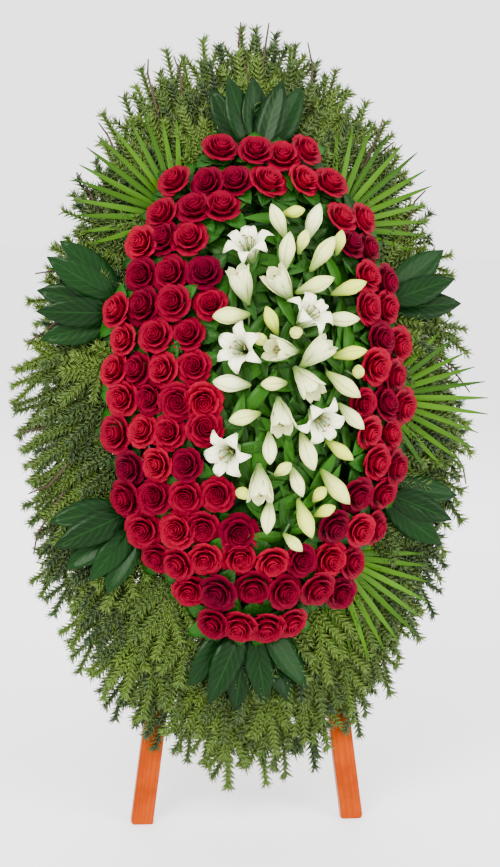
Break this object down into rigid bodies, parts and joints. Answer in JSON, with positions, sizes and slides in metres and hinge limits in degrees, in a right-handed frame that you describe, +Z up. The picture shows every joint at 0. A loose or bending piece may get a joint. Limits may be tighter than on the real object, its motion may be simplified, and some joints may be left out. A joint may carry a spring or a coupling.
{
  "type": "standing funeral wreath",
  "caption": "Oval funeral wreath of red roses and white lilies on spruce boughs with palm and laurel leaves, on a folding wooden easel.",
  "frame": {"origin": "On the floor, under the middle of the whole, with the easel opened and standing.", "axes": "+Z up, -Y the way the flowers face, +X to the right of a person who looks at the flowers."},
  "size_m": [0.884, 0.7968, 1.4867],
  "materials": {
    "varnished_pine": "varnished, orange-brown",
    "zinc_steel": "zinc-plated",
    "plywood": "bare plywood",
    "tray_plastic": "moulded, dark green",
    "floral_foam": "open-cell foam, light",
    "spruce": "fresh spruce twigs",
    "palm_leaf": "fresh palm leaf",
    "laurel_leaf": "glossy evergreen leaf",
    "red_rose": "fresh petals, velvety",
    "white_lily": "fresh petals, waxy"
  },
  "bodies": {
    "wreath_and_frame": {"left_front_leg": "varnished_pine", "right_front_leg": "varnished_pine", "cross_rail": "varnished_pine", "apex_block": "varnished_pine", "rail_coach_screw_left": "zinc_steel", "apex_coach_screw_left": "zinc_steel", "rail_coach_screw_right": "zinc_steel", "apex_coach_screw_right": "zinc_steel", "board_ledge": "varnished_pine", "hinge_bracket": "zinc_steel", "pivot_bolt": "zinc_steel", "pivot_nut": "zinc_steel", "backing_board": "plywood", "foam_tray": "tray_plastic", "roses_left_1": "red_rose", "roses_right_1": "red_rose", "roses_left_2": "red_rose", "roses_right_2": "red_rose", "roses_left_3": "red_rose", "roses_right_3": "red_rose", "roses_left_4": "red_rose", "roses_right_4": "red_rose", "roses_left_5": "red_rose", "roses_right_5": "red_rose", "roses_left_6": "red_rose", "roses_right_6": "red_rose", "roses_left_7": "red_rose", "roses_right_7": "red_rose", "roses_left_8": "red_rose", "roses_right_8": "red_rose", "lily_stem_left_1": "white_lily", "lily_stem_right_1": "white_lily", "lily_stem_left_2": "white_lily", "lily_stem_right_2": "white_lily", "lily_stem_left_3": "white_lily", "lily_stem_right_3": "white_lily", "palm_fan_upper_left": "palm_leaf", "palm_fan_upper_right": "palm_leaf", "palm_fan_right": "palm_leaf", "palm_fan_lower_right": "palm_leaf", "laurel_fan_top": "laurel_leaf", "laurel_fan_upper_left": "laurel_leaf", "laurel_fan_lower_left": "laurel_leaf", "laurel_fan_bottom": "laurel_leaf", "laurel_fan_lower_right": "laurel_leaf", "laurel_fan_upper_right": "laurel_leaf", "spruce_bough_01": "spruce", "spruce_bough_02": "spruce", "spruce_bough_03": "spruce", "spruce_bough_04": "spruce", "spruce_bough_05": "spruce", "spruce_bough_06": "spruce", "spruce_bough_07": "spruce", "spruce_bough_08": "spruce", "spruce_bough_09": "spruce", "spruce_bough_10": "spruce", "spruce_bough_11": "spruce", "spruce_bough_12": "spruce", "foam_block": "floral_foam"},
    "rear_leg": {"rear_leg": "varnished_pine"}
  },
  "joints": [
    {"name": "rear_leg_fold", "type": "hinge", "parent": "wreath_and_frame", "child": "rear_leg", "pos_m": [0.0037, 0.0534, 1.2488], "axis": [1, 0, 0], "range_deg": [-27, 0]}
  ]
}
